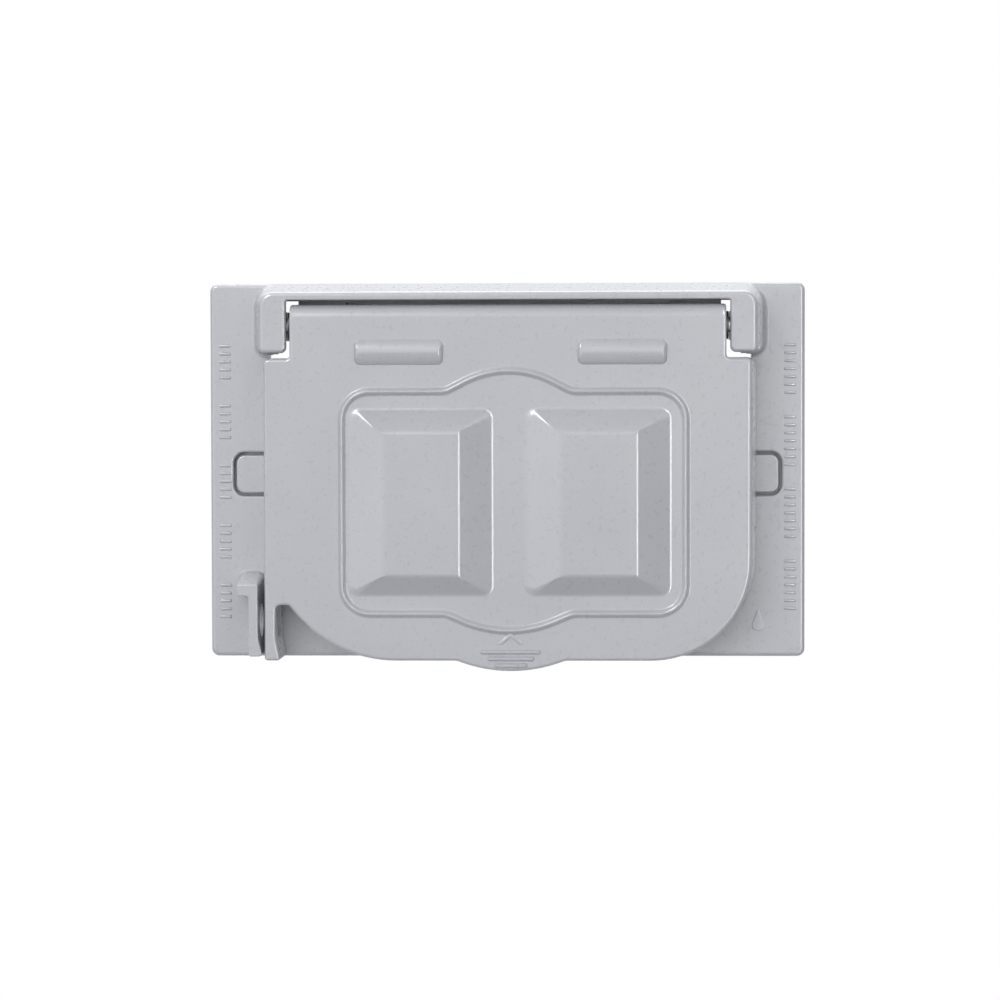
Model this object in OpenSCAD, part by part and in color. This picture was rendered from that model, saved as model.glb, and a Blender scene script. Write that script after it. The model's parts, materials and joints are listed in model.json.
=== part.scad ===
// Weatherproof flip-lid cover for a duplex outlet, mounted sideways on a wall box.
// Each part is drawn as seen from the front: u to the right, v up, w out from the wall.
// front() turns that into the part's own frame: X right, Y into the wall, Z up.
// The origin is the wall plane, midway between the two box screws.

/* [Frame plate] */
// Width of the frame plate
plate_w = 116.6; // [114:0.2:120]
// Height of the frame plate
plate_h = 73.2; // [71:0.2:76]
// How far the plate's middle sits above the line of the box screws
plate_rise = 0.7; // [0:0.1:1.5]
// Front face of the plate, out from the wall
plate_front = 7.0; // [6.6:0.1:8]
// Thickness of the wall gasket
gasket_t = 1.6; // [1:0.1:2]
// Thickness of the plate's front skin
skin_t = 2.0; // [1.6:0.1:2.2]

/* [Lid] */
// Front face of the lid, out from the wall
lid_front = 19.0; // [18:0.1:19.6]
// Thickness of the lid's walls
lid_wall = 1.6; // [1.4:0.1:2]
// Radius of the lid's large bottom corners
lid_corner = 20.0; // [16:0.5:22]
// Height of the two raised fields above the lid's face
field_rise = 3.0; // [1.5:0.1:3.5]
// Height of the bead above the lid's face
bead_rise = 0.7; // [0.4:0.1:1]
// Height of the two stop bars above the lid's face
bar_rise = 1.1; // [0.8:0.1:1.1]

/* [Hinge] */
// Radius of the hinge pin
pin_r = 1.5; // [1.4:0.05:1.6]
// Clearance around the pin in the lid's bushings
pin_play = 0.05; // [0.02:0.01:0.1]
// Outer radius of a torsion spring's coil
coil_r = 3.5; // [3.2:0.1:3.6]
// Wire diameter of the torsion springs
wire_d = 0.8; // [0.6:0.1:0.9]
// Turns in each torsion spring
turns = 8; // [6:1:9]

/* [Fastening] */
// Distance between the two box screws
box_screw_pitch = 83.34; // [83:0.01:84]
// Radius of a box screw's thread
screw_r = 1.75; // [1.6:0.05:1.8]
// Radius of the padlock hole in the hasp and in the lid's leg
padlock_r = 3.2; // [3:0.1:3.6]

/* [Hidden] */
$fn = 48;
sides = [-1, 1];
thin = 0.01;      // slices that hull() joins
through = 1;      // how far a cutter runs past a face

// frame plate
plate_top = plate_rise + plate_h / 2;
plate_bottom = plate_rise - plate_h / 2;
skin_back = plate_front - skin_t;
rim_t = 2.2;                    // skirt of the plate, and rim round the outlet opening
ledge_front = 4.2;              // the insert gasket lies on this ledge
ledge_back = 2.6;
opening_u = 36.4;               // half of the opening for the outlet
opening_v = 18.6;
pocket_u = 46.6;                // half of the pocket for the device plate
pocket_v = 22.2;
notch_u = 53.8;                 // half of the pocket at the side notches
notch_v = 4.3;
notch_rise = -0.05;             // the notches' middle above the box screws

// hood and ears, measured about the hinge's own middle
hinge_u = 0.55;
hood_front = 18.2;
hood_top = 35.3;                // at hood_front
hood_foot_top = plate_top - 0.1;
hood_half = 48.0;               // at hood_front
hood_foot_half = 49.8;
ear_bottom = 23.6;
ear_foot_bottom = 23.1;
ear_inner = 42.8;
ear_wall = 2.0;
ear_back = 9.0;                 // the ears' inner walls end here, over the windows
ear_hollow_end = 46.3;
roof_t = 1.6;
roof_lip = hood_top - roof_t;   // underside of the roof at hood_front
bushing_zone = [26.0, 31.5];     // the inner walls' height beside the bushings
window_in = 41.4;               // holes behind the ears
window_out = 47.4;
window_bottom = 21.6;
window_top = 33.9;

// hinge axis, and the spring coils, which hang up and back from it
axis_v = 28.8;
axis_w = 14.6;
coil_lift = 0.8;
coil_back = 0.9;
spring_inner_u = 23.9;          // inner end of each coil
coil_fit = 0.15;                // wire gap between turns
slot_r = pin_r + 0.02;

// hasp web on the frame
hasp_right = -48.0;
hasp_t = 1.8;
hasp_top = -21.1;
hasp_bottom = -35.0;
hasp_front = 19.2;
hasp_arm = -51.7;
padlock_v = -28.4;
padlock_w = plate_front + 5.7;

// lid
lid_left = -46.5;               // at the face, and the foot is wider by the draft
lid_right = 47.5;
lid_top = 22.4;
lid_bottom = -35.8;
lid_foot = plate_front + 0.4;
lid_draft_left = 0.5;
lid_draft_right = 1.2;
lid_draft_v = 0.3;
face_edge = 0.8;                // fillet between face and walls
hinge_part = 42.0;              // half width between the ears
lid_peak = 32.9;                // top edge of the hinge part
peak_round = 2.8;
leg_right = -44.4;
leg_foot_right = -43.4;
leg_bottom = -35.9;
notch_top = -25.0;
corner_left = -20.4;            // centre of the left bottom corner, beside the leg
corner_left_r = 26.0;
tab_u = 1.1;
tab_half = 10.6;
tab_bottom = -37.7;
cavity_front = lid_front - lid_wall;
cavity = [lid_left + lid_wall, lid_right - lid_wall, lid_bottom + lid_wall, lid_top - lid_wall];
seal_w = 3.0;                   // width of the lid gasket
seal_front = 10.0;
seal_back = plate_front + 0.3;
rib_t = 1.4;
hook_back = 13.8;               // back of the hooks that the spring legs pull on

// raised shapes on the lid's face
field_u = [-16.1, 18.1];
field_half = [13.6, 17.7];      // at the foot
field_top_half = [7.2, 14.15];
field_v = -5.1;
field_top_v = -5.65;
bead = [-32.2, 35.5, -27.5, 16.85];
bead_w = 1.5;
bead_r = 6;
bulge_half = 11.6;
bulge_rise = 3.2;
bulge_drop = 2.6;
bar_u = [-20.4, 22.6];
bar_half = 8.6;
bar_v = 23.65;
bar_chord = 2.45;

// device plate
device_back = 5.0;
device_u = pocket_u - 0.3;
device_v = pocket_v - 0.3;
tab_end = 53.3;
tab_v = 3.75;
duplex_pitch = 38.9;
duplex_r = 17.2;
duplex_half = 14.3;
device_screw_r = 2.0;

// screws
screw_head_r = 3.25;
screw_neck_r = 1.35;            // plain neck under a screw's head
thread_top = 3.4;               // where a box screw's thread ends
box_screw_end = -12;
device_screw_end = -2;
seal_r = 4.0;
gasket_hole_r = 3.2;            // holes for the box screws in the wall gasket

module front() { rotate([90, 0, 0]) children(); }

module slab(w0, w1) { translate([0, 0, w0]) linear_extrude(w1 - w0) children(); }

// a rectangle from u0 to u1 and v0 to v1, with round corners
module round_rect(u0, u1, v0, v1, r) {
    translate([u0 + r, v0]) square([u1 - u0 - 2 * r, v1 - v0]);
    translate([u0, v0 + r]) square([u1 - u0, v1 - v0 - 2 * r]);
    for (u = [u0 + r, u1 - r], v = [v0 + r, v1 - r]) translate([u, v]) circle(r);
}

// one thin slice of a round-cornered block, for hull()
module slice(u0, u1, v0, v1, r, w) {
    for (u = [u0 + r, u1 - r], v = [v0 + r, v1 - r])
        translate([u, v, w]) cylinder(r = r, h = thin, $fn = 32);
}

// a cylinder along u from u0 to u1, at height v and depth w
module along_u(u0, u1, v, w, r) {
    translate([u0, v, w]) rotate([0, 90, 0]) cylinder(r = r, h = u1 - u0);
}

// a block between two corners
module block(low, high) { translate(low) cube(high - low); }

// a profile of [w, v] points drawn out along u
module profile_u(u0, u1, points) {
    translate([u0, 0, 0]) rotate([0, 90, 0]) rotate([0, 0, 90])
        linear_extrude(u1 - u0) polygon([for (p = points) [p[1], p[0]]]);
}

// a frustum from a rectangle at w0 to a smaller one at w1
module frustum(centre, half, w0, top_centre, top_half, w1) {
    corner = [[-1, -1], [1, -1], [1, 1], [-1, 1]];
    low = [for (c = corner) [centre[0] + c[0] * half[0], centre[1] + c[1] * half[1], w0]];
    high = [for (c = corner)
        [top_centre[0] + c[0] * top_half[0], top_centre[1] + c[1] * top_half[1], w1]];
    polyhedron(concat(low, high),
        [[0, 1, 2, 3], [7, 6, 5, 4], [4, 5, 1, 0], [5, 6, 2, 1], [6, 7, 3, 2], [7, 4, 0, 3]]);
}

// ---------------------------------------------------------------- frame

module plate_block() {
    u = plate_w / 2;
    hull() {
        slice(-u, u, plate_bottom, plate_top, 1.2, gasket_t);
        slice(-u + 0.2, u - 0.2, plate_bottom + 0.2, plate_top - 0.2, 1.2, plate_front - 0.8);
        slice(-u + 0.8, u - 0.8, plate_bottom + 0.6, plate_top - 0.8, 1.2, plate_front - thin);
    }
}

module hood_block() {
    low = plate_front - 1;
    hull() {
        slice(hinge_u - hood_foot_half, hinge_u + hood_foot_half, ear_foot_bottom, hood_foot_top, 1.5, low);
        slice(hinge_u - hood_half, hinge_u + hood_half, ear_bottom, hood_top, 1.8, hood_front - 0.8);
        slice(hinge_u - hood_half + 0.7, hinge_u + hood_half - 0.7, ear_bottom + 0.6, hood_top - 0.7,
              1.6, hood_front - thin);
    }
}

// the space between the ears and under the roof
module hood_space() {
    roof_slope = (hood_foot_top - hood_top) / (hood_front - plate_front + 1);
    roof = function(w) roof_lip + (hood_front - w) * roof_slope;
    profile_u(hinge_u - ear_inner, hinge_u + ear_inner,
        [[plate_front, ear_foot_bottom - through], [plate_front, roof(plate_front)],
         [hood_front + through, roof(hood_front + through)],
         [hood_front + through, ear_foot_bottom - through]]);
}

// hollow behind each ear's face, open to the back through the window
module ear_hollow(side) {
    inner = hinge_u + side * (ear_inner + ear_wall);
    outer = hinge_u + side * ear_hollow_end;
    roof_at_back = roof_lip + 0.6;
    block([min(inner, outer), ear_bottom + 1.6, plate_front - through],
          [max(inner, outer), roof_at_back, hood_front - 1.6]);
    wall_in = hinge_u + side * (ear_inner - through);
    block([min(wall_in, outer), window_bottom, plate_front - through],
          [max(wall_in, outer), roof_at_back, ear_back]);
    // the inner wall is open above and below the bushing
    wall_out = inner + side * 0.3;
    for (v = [[ear_bottom - through, bushing_zone[0]], [bushing_zone[1], roof_at_back]])
        block([min(wall_in, wall_out), v[0], plate_front], [max(wall_in, wall_out), v[1], hood_front - 1.6]);
}

module ear_window(side) {
    inner = hinge_u + side * window_in;
    outer = hinge_u + side * window_out;
    block([min(inner, outer), window_bottom, 0], [max(inner, outer), window_top, plate_front + 0.6]);
}

// slot that takes the pin from behind
module pin_slot(side) {
    inner = hinge_u + side * (ear_inner - through);
    outer = hinge_u + side * (ear_inner + ear_wall + 0.2);
    u0 = min(inner, outer);
    u1 = max(inner, outer);
    along_u(u0, u1, axis_v, axis_w, slot_r);
    block([u0, axis_v - slot_r, ear_back - through], [u1, axis_v + slot_r, axis_w]);
}

// web with the padlock hole, stiffened by an arm along its top
module hasp() {
    low = plate_front - 1;
    left = hasp_right - hasp_t;
    difference() {
        union() {
            hull() {
                block([left - 0.4, hasp_bottom, low], [hasp_right + 0.2, hasp_top + 1.0, low + thin]);
                block([left, hasp_bottom, hasp_front - 0.5], [hasp_right, hasp_top, hasp_front - 0.49]);
                block([left + 0.3, hasp_bottom + 0.3, hasp_front - thin],
                      [hasp_right - 0.3, hasp_top - 0.3, hasp_front]);
            }
            hull() {
                block([hasp_arm - 1.4, hasp_top - 2.2, low], [hasp_right, hasp_top + 1.6, low + thin]);
                block([hasp_arm, hasp_top - 1.9, hasp_front - thin],
                      [hasp_right - 0.3, hasp_top, hasp_front]);
            }
        }
        along_u(left - through, hasp_right + through, padlock_v, padlock_w, padlock_r);
    }
}

module side_notch(side) {
    inner = side * (pocket_u - 2);
    outer = side * notch_u;
    round_rect(min(inner, outer), max(inner, outer), notch_rise - notch_v, notch_rise + notch_v, 1);
}

module plate_cuts() {
    u = plate_w / 2 - rim_t;
    // pocket for the device plate, with its side notches
    slab(ledge_front, plate_front + through) {
        round_rect(-pocket_u, pocket_u, -pocket_v, pocket_v, 1.5);
        for (side = sides) side_notch(side);
    }
    // opening for the outlet
    slab(0, plate_front) round_rect(-opening_u, opening_u, -opening_v, opening_v, 2);
    // hollow between the skirt and the pocket
    slab(0, skin_back) difference() {
        round_rect(-u, u, plate_bottom + rim_t, plate_top - rim_t, 1);
        round_rect(-notch_u - 1.6, notch_u + 1.6, -pocket_v - 1.6, pocket_v + 1.6, 2);
    }
    // hollow under the ledge
    slab(0, ledge_back) difference() {
        round_rect(-pocket_u, pocket_u, -pocket_v, pocket_v, 1.5);
        round_rect(-opening_u - 1.8, opening_u + 1.8, -opening_v - 1.6, opening_v + 1.6, 3);
        for (side = sides) translate([side * box_screw_pitch / 2, 0]) circle(6.5);
    }
    for (side = sides)
        translate([side * box_screw_pitch / 2, 0, 0]) cylinder(r = seal_r + 0.3, h = plate_front);
}

module base_frame() {
    color([0.66, 0.67, 0.70]) front() union() {
        difference() {
            union() {
                plate_block();
                difference() {
                    hood_block();
                    hood_space();
                    for (side = sides) ear_hollow(side);
                }
            }
            plate_cuts();
            for (side = sides) {
                ear_window(side);
                pin_slot(side);
            }
        }
        hasp();
    }
}

module gasket_outline() {
    u = plate_w / 2 - 0.8;
    difference() {
        round_rect(-u, u, plate_bottom + 0.8, plate_top - 0.8, 1.5);
        for (side = sides) {
            inner = hinge_u + side * (window_in - 0.6);
            outer = hinge_u + side * (window_out + 0.6);
            translate([min(inner, outer), window_bottom - 0.6])
                square([abs(outer - inner), window_top - window_bottom + 1.2]);
        }
    }
}

module wall_gasket() {
    color([0.25, 0.25, 0.26]) front() difference() {
        slab(0, gasket_t) difference() {
            gasket_outline();
            round_rect(-opening_u - 0.4, opening_u + 0.4, -opening_v - 0.4, opening_v + 0.4, 2);
        }
        for (side = sides)
            translate([side * box_screw_pitch / 2, 0, -through])
                cylinder(r = gasket_hole_r, h = gasket_t + 2);
    }
}

// ---------------------------------------------------------------- device plate

module duplex_hole() {
    intersection() {
        circle(duplex_r);
        square([2 * duplex_half, 3 * duplex_r], center = true);
    }
}

module device_plate() {
    color([0.66, 0.67, 0.70]) front() difference() {
        slab(device_back, plate_front - 0.05) difference() {
            union() {
                round_rect(-device_u, device_u, -device_v, device_v, 1.5);
                round_rect(-tab_end, tab_end, notch_rise - tab_v, notch_rise + tab_v, 1.9);
            }
            for (side = sides) translate([side * duplex_pitch / 2, 0]) duplex_hole();
            circle(device_screw_r);
        }
        for (side = sides) translate([side * box_screw_pitch / 2, 0, 0]) {
            cylinder(r = screw_r + 0.2, h = 10);
            translate([0, 0, 5.6]) cylinder(r1 = screw_r + 0.2, r2 = screw_head_r + 0.1, h = 1.4);
        }
    }
}

module insert_gasket() {
    color([0.22, 0.22, 0.23]) front() difference() {
        slab(ledge_front, device_back) difference() {
            round_rect(-device_u, device_u, -device_v, device_v, 1.5);
            round_rect(-opening_u - 0.3, opening_u + 0.3, -opening_v - 0.3, opening_v + 0.3, 2);
        }
        for (side = sides)
            translate([side * box_screw_pitch / 2, 0, 0]) cylinder(r = seal_r + 0.3, h = 10);
    }
}

// ---------------------------------------------------------------- lid

// the lid's plan at the inner edge of its walls, moved in by a distance
module cavity_plan(inset) {
    r_left = corner_left_r - lid_wall - inset;
    r_right = lid_corner - lid_wall - inset;
    u0 = cavity[0] + inset;
    u1 = cavity[1] - inset;
    v0 = cavity[2] + inset;
    v1 = cavity[3] - inset;
    over_notch = notch_top + lid_wall + inset;
    left_centre = [corner_left, lid_bottom + corner_left_r];
    right_centre = [lid_right - lid_corner, lid_bottom + lid_corner];
    reach = sqrt(r_left * r_left - pow(left_centre[1] - over_notch, 2));
    polygon([[u0, v1], [u0, over_notch], [corner_left - reach, over_notch], [corner_left, v0],
             [right_centre[0], v0], [u1, right_centre[1]], [u1, v1]]);
    translate(left_centre) circle(r_left);
    translate(right_centre) circle(r_right);
}

module lid_slice(grow_left, grow, w) {
    for (u = [lid_left + 1.5 - grow_left, lid_right - 1.5 + grow])
        translate([u, lid_top - 1.5 + min(grow, lid_draft_v), w]) cylinder(r = 1.5, h = thin, $fn = 24);
    translate([lid_right - lid_corner, lid_bottom + lid_corner, w])
        cylinder(r = lid_corner + grow, h = thin, $fn = 80);
    translate([corner_left, lid_bottom + corner_left_r, w])
        cylinder(r = corner_left_r + min(grow, lid_draft_v), h = thin, $fn = 80);
    translate([lid_left + 1.5 - grow_left, notch_top + 1.5, w]) cylinder(r = 1.5, h = thin, $fn = 24);
}

// the gap between the leg and the lid's left bottom corner
module notch() {
    slab(0, lid_front + through) difference() {
        translate([lid_left - 2, lid_bottom - 2])
            square([corner_left - lid_left + 2, notch_top - lid_bottom + 2]);
        translate([corner_left, lid_bottom + corner_left_r]) circle(corner_left_r, $fn = 80);
    }
}

module lid_block() {
    hull() {
        lid_slice(lid_draft_left, lid_draft_right, lid_foot);
        lid_slice(0, 0, lid_front - face_edge);
        lid_slice(-0.6, -0.6, lid_front - thin);
    }
}

module lift_tab() {
    hull() for (s = [[0.4, lid_foot], [0, lid_front - face_edge], [-0.6, lid_front - thin]])
        translate([tab_u, tab_bottom + 30 - s[0], s[1]])
            intersection() {
                cylinder(r = 30, h = thin, $fn = 180);
                translate([-tab_half, -31, -1]) cube([2 * tab_half, 12, 2]);
            }
}

module leg() {
    hull() {
        block([lid_left - lid_draft_left, leg_bottom, lid_foot],
              [leg_foot_right, notch_top + 1, lid_foot + thin]);
        block([lid_left, leg_bottom, lid_front - face_edge],
              [leg_right, notch_top + 1, lid_front - face_edge + thin]);
        block([lid_left + 0.5, leg_bottom + 0.5, lid_front - thin], [leg_right - 0.5, notch_top + 1, lid_front]);
    }
}

// cross-section of the hinge part, with its rounded top edge
function peak_profile() = concat(
    [[lid_front, lid_top - 4]],
    [for (a = [0 : 9 : 90]) [lid_front - peak_round + peak_round * cos(a),
                             lid_peak - peak_round + peak_round * sin(a)]]);

module hinge_shell() {
    inner = peak_round - lid_wall;
    profile_u(hinge_u - hinge_part, hinge_u + hinge_part, concat(
        peak_profile(),
        [[axis_w + 0.8, lid_peak], [axis_w + 0.8, lid_peak - lid_wall]],
        [for (a = [90 : -18 : 0]) [lid_front - peak_round + inner * cos(a),
                                   lid_peak - peak_round + inner * sin(a)]],
        [[cavity_front, lid_top - 4]]));
}

// side wall of the hinge part, which carries a bushing
module hinge_cheek(side) {
    inner = hinge_u + side * (hinge_part - 2.2);
    outer = hinge_u + side * hinge_part;
    profile_u(min(inner, outer), max(inner, outer), concat(
        peak_profile(),
        [for (a = [100 : 16 : 228]) [axis_w + 4.1 * cos(a), axis_v + 4.1 * sin(a)]],
        [[lid_foot + 2.0, lid_top], [lid_foot + 2.0, lid_top - 2]]));
}

module spring_room(side) {
    length = (turns + 1) * (wire_d + coil_fit) + 1.2;
    inner = hinge_u + side * (spring_inner_u - 0.6);
    outer = inner + side * length;
    along_u(min(inner, outer), max(inner, outer), axis_v + coil_lift, axis_w - coil_back, coil_r + 0.25);
}

// hook that the spring's leg pulls on, with its stem beside the leg
module spring_hook(side) {
    stem = hinge_u + side * (spring_inner_u - 3.6);
    stem_edge = stem + side * 1.8;
    tip = stem + side * 3.8;
    block([min(stem, stem_edge), 14.0, hook_back], [max(stem, stem_edge), 16.8, lid_front - 0.5]);
    block([min(stem, tip), 14.0, hook_back], [max(stem, tip), 16.8, hook_back + 1.3]);
}

// slot in the gasket's rib, for the spring's leg
module spring_notch(side) {
    u = hinge_u + side * spring_inner_u;
    block([u - 1, cavity[3] - seal_w, cavity_front - 2.6], [u + 1, cavity[3], cavity_front]);
}

module bead_outline(inset) {
    round_rect(bead[0] + inset, bead[1] - inset, bead[2] + inset, bead[3] - inset, bead_r - inset);
    middle = (bead[0] + bead[1]) / 2 - 1;
    for (s = [[bead[3], bulge_rise, -1], [bead[2], bulge_drop, 1]]) {
        r = (bulge_half * bulge_half + s[1] * s[1]) / (2 * s[1]);
        intersection() {
            translate([middle, s[0] + s[2] * (r - s[1])]) circle(r - inset, $fn = 160);
            translate([middle - bulge_half - 2, s[0] - 5]) square([2 * bulge_half + 4, 10]);
        }
    }
}

module raised_shapes() {
    for (u = field_u) frustum([u, field_v], field_half, lid_front - 0.5, [u, field_top_v],
                              field_top_half, lid_front + field_rise);
    slab(lid_front - 0.5, lid_front + bead_rise) difference() {
        bead_outline(0.3);
        bead_outline(0.3 + bead_w);
    }
    r = (bar_chord * bar_chord + bar_rise * bar_rise) / (2 * bar_rise);
    for (u = bar_u) intersection() {
        union() {
            along_u(u - bar_half + bar_chord, u + bar_half - bar_chord, bar_v, lid_front + bar_rise - r, r);
            for (side = sides)
                translate([u + side * (bar_half - bar_chord), bar_v, lid_front + bar_rise - r]) sphere(r);
        }
        block([u - 20, bar_v - 10, lid_front - 0.5], [u + 20, bar_v + 10, lid_front + 5]);
    }
}

// grip ribs and a plain arrow on the lift tab
module grip() {
    for (i = [0 : 2])
        slab(lid_front - 0.3, lid_front + 0.4)
            round_rect(tab_u - 5.8 + 1.3 * i, tab_u + 5.8 - 1.3 * i, -34.5 - 1.35 * i, -33.9 - 1.35 * i, 0.29);
    slab(lid_front - 0.3, lid_front + 0.3)
        polygon([[tab_u - 2.4, -32.8], [tab_u, -31.0], [tab_u + 2.4, -32.8], [tab_u + 1.5, -32.8],
                 [tab_u, -31.7], [tab_u - 1.5, -32.8]]);
}

module lid() {
    inner_field = [field_half[0] - 1.4, field_half[1] - 1.4];
    inner_top = [field_top_half[0] - 0.6, field_top_half[1] - 0.6];
    color([0.70, 0.71, 0.74]) front() difference() {
        union() {
            difference() {
                union() {
                    lid_block();
                    lift_tab();
                }
                notch();
                slab(0, cavity_front) cavity_plan(0);
                // the hinge part opens into the lid
                block([hinge_u - hinge_part + 2.2, lid_top - 4, 0],
                      [hinge_u + hinge_part - 2.2, lid_top + 4, cavity_front]);
            }
            leg();
            hinge_shell();
            for (side = sides) {
                hinge_cheek(side);
                spring_hook(side);
            }
            // rib that carries the gasket
            slab(seal_front, cavity_front + 0.5) difference() {
                cavity_plan(seal_w / 2 - rib_t / 2);
                cavity_plan(seal_w / 2 + rib_t / 2);
            }
            raised_shapes();
            grip();
        }
        for (u = field_u) frustum([u, field_v], inner_field, cavity_front - 0.01, [u, field_top_v], inner_top,
                                  lid_front + field_rise - lid_wall);
        for (side = sides) {
            spring_room(side);
            spring_notch(side);
        }
        along_u(hinge_u - hinge_part - through, hinge_u + hinge_part + through, axis_v, axis_w, 2.3);
        along_u(lid_left - 4, leg_foot_right + 1, padlock_v, padlock_w, padlock_r);
    }
}

module lid_gasket() {
    color([0.22, 0.22, 0.23]) front() slab(seal_back, seal_front) difference() {
        cavity_plan(0.2);
        cavity_plan(0.2 + seal_w);
    }
}

// ---------------------------------------------------------------- hinge

module hinge_pin() {
    color([0.72, 0.72, 0.70]) front()
        along_u(hinge_u - ear_inner - ear_wall - 0.9, hinge_u + ear_inner + ear_wall + 0.9, axis_v, axis_w, pin_r);
}

// flanged sleeve pressed into the lid's cheek from outside
module hinge_bushing(side) {
    color([0.1, 0.1, 0.1]) front() {
        inner = hinge_u + side * (hinge_part - 2.2);
        face = hinge_u + side * hinge_part;
        flange = face + side * 0.5;
        difference() {
            union() {
                along_u(min(inner, flange), max(inner, flange), axis_v, axis_w, 2.3);
                along_u(min(face, flange), max(face, flange), axis_v, axis_w, 2.7);
            }
            along_u(min(inner, flange) - 1, max(inner, flange) + 1, axis_v, axis_w, pin_r + pin_play);
        }
    }
}

// blocks that close the pin slots from behind
module pin_retainers() {
    color([0.72, 0.72, 0.70]) front() for (side = sides) {
        inner = hinge_u + side * (ear_inner + 0.1);
        outer = hinge_u + side * (ear_inner + ear_wall - 0.1);
        difference() {
            block([min(inner, outer), axis_v - slot_r, ear_back + 0.4],
                  [max(inner, outer), axis_v + slot_r, axis_w]);
            along_u(min(inner, outer) - 1, max(inner, outer) + 1, axis_v, axis_w, pin_r);
        }
    }
}

// centre line of a torsion spring: a leg to the frame, the coil, then a leg to the lid's hook
function coil_point(side, a) = [
    hinge_u + side * (spring_inner_u + wire_d / 2 + (wire_d + coil_fit) * (turns - a / 360)),
    axis_v + coil_lift + (coil_r - wire_d / 2) * sin(a),
    axis_w - coil_back + (coil_r - wire_d / 2) * cos(a)];
function spring_path(side) = let (
    step = 20,
    last = turns * 360,
    start = coil_point(side, 180),
    finish = coil_point(side, last))
    concat(
        [[start[0], start[1] + 3.8, start[2] - 0.9], [start[0], start[1] + 1.9, start[2] - 0.4]],
        [for (a = [180 : step : last]) coil_point(side, a)],
        [[finish[0], finish[1] - 5, finish[2] - 0.4], [finish[0] - side * 0.6, finish[1] - 10, finish[2] - 0.8],
         [finish[0] - side * 1.6, finish[1] - 15.2, finish[2] - 1.0]]);

function unit(p) = p / norm(p);

// a round wire swept along a list of points
module wire(path, d) {
    ring = 6;
    count = len(path);
    dir = [for (i = [0 : count - 1]) unit(path[min(i + 1, count - 1)] - path[max(i - 1, 0)])];
    side_axis = [for (t = dir) unit(cross(t, abs(t[0]) > 0.9 ? [0, 1, 0] : [1, 0, 0]))];
    points = [for (i = [0 : count - 1], k = [0 : ring - 1])
        path[i] + d / 2 * (cos(60 * k) * side_axis[i] + sin(60 * k) * cross(dir[i], side_axis[i]))];
    sides_list = [for (i = [0 : count - 2], k = [0 : ring - 1]) let (n = (k + 1) % ring)
        [i * ring + k, i * ring + n, (i + 1) * ring + n, (i + 1) * ring + k]];
    first_cap = [for (k = [ring - 1 : -1 : 0]) k];
    last_cap = [for (k = [0 : ring - 1]) (count - 1) * ring + k];
    polyhedron(points, concat([first_cap, last_cap], sides_list), convexity = 10);
}

module torsion_spring(side) {
    color([0.75, 0.75, 0.76]) front() wire(spring_path(side), wire_d);
}

// ---------------------------------------------------------------- fasteners

module box_screws() {
    color([0.75, 0.75, 0.76]) front() for (side = sides)
        translate([side * box_screw_pitch / 2, 0, 0]) difference() {
            union() {
                translate([0, 0, box_screw_end]) cylinder(r = screw_r, h = thread_top - box_screw_end);
                cylinder(r = screw_neck_r, h = 6);
                translate([0, 0, 5.6]) cylinder(r1 = screw_r, r2 = screw_head_r, h = 1.3);
            }
            translate([-4, -0.4, 6.2]) cube([8, 0.8, 2]);
        }
}

module screw_seals() {
    color([0.35, 0.12, 0.1]) front() for (side = sides)
        translate([side * box_screw_pitch / 2, 0, 3.6]) difference() {
            cylinder(r = seal_r, h = device_back - 3.6);
            translate([0, 0, -1]) cylinder(r = screw_neck_r, h = 4);
        }
}

module device_screw() {
    color([0.75, 0.75, 0.76]) front() difference() {
        union() {
            translate([0, 0, device_screw_end]) cylinder(r = screw_r, h = device_back - device_screw_end);
            cylinder(r = screw_neck_r, h = 8);
            translate([0, 0, 7.75]) cylinder(r = screw_head_r, h = 0.9);
            translate([0, 0, 8.65]) cylinder(r1 = screw_head_r, r2 = 2.2, h = 0.8);
        }
        translate([-4, -0.4, 8.5]) cube([8, 0.8, 2]);
    }
}

module device_screw_seal() {
    color([0.35, 0.12, 0.1]) front() difference() {
        translate([0, 0, plate_front - 0.05]) cylinder(r = 3.6, h = 0.8);
        cylinder(r = screw_neck_r, h = 10);
    }
}

base_frame();
wall_gasket();
device_plate();
insert_gasket();
lid();
lid_gasket();
hinge_pin();
torsion_spring(-1);  // left_torsion_spring
torsion_spring(1);  // right_torsion_spring
hinge_bushing(-1);  // left_hinge_bushing
hinge_bushing(1);  // right_hinge_bushing
pin_retainers();
box_screws();
screw_seals();
device_screw();
device_screw_seal();
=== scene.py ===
"""Weatherproof flip-lid outlet cover: its looks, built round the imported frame.

Shapes are drawn as seen from the front, in millimetres: u to the right, v up, w out from the wall.
at() turns such a point into the frame's own axes, in metres.
"""
import json
import math

import bmesh
import bpy
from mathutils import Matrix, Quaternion, Vector


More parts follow.
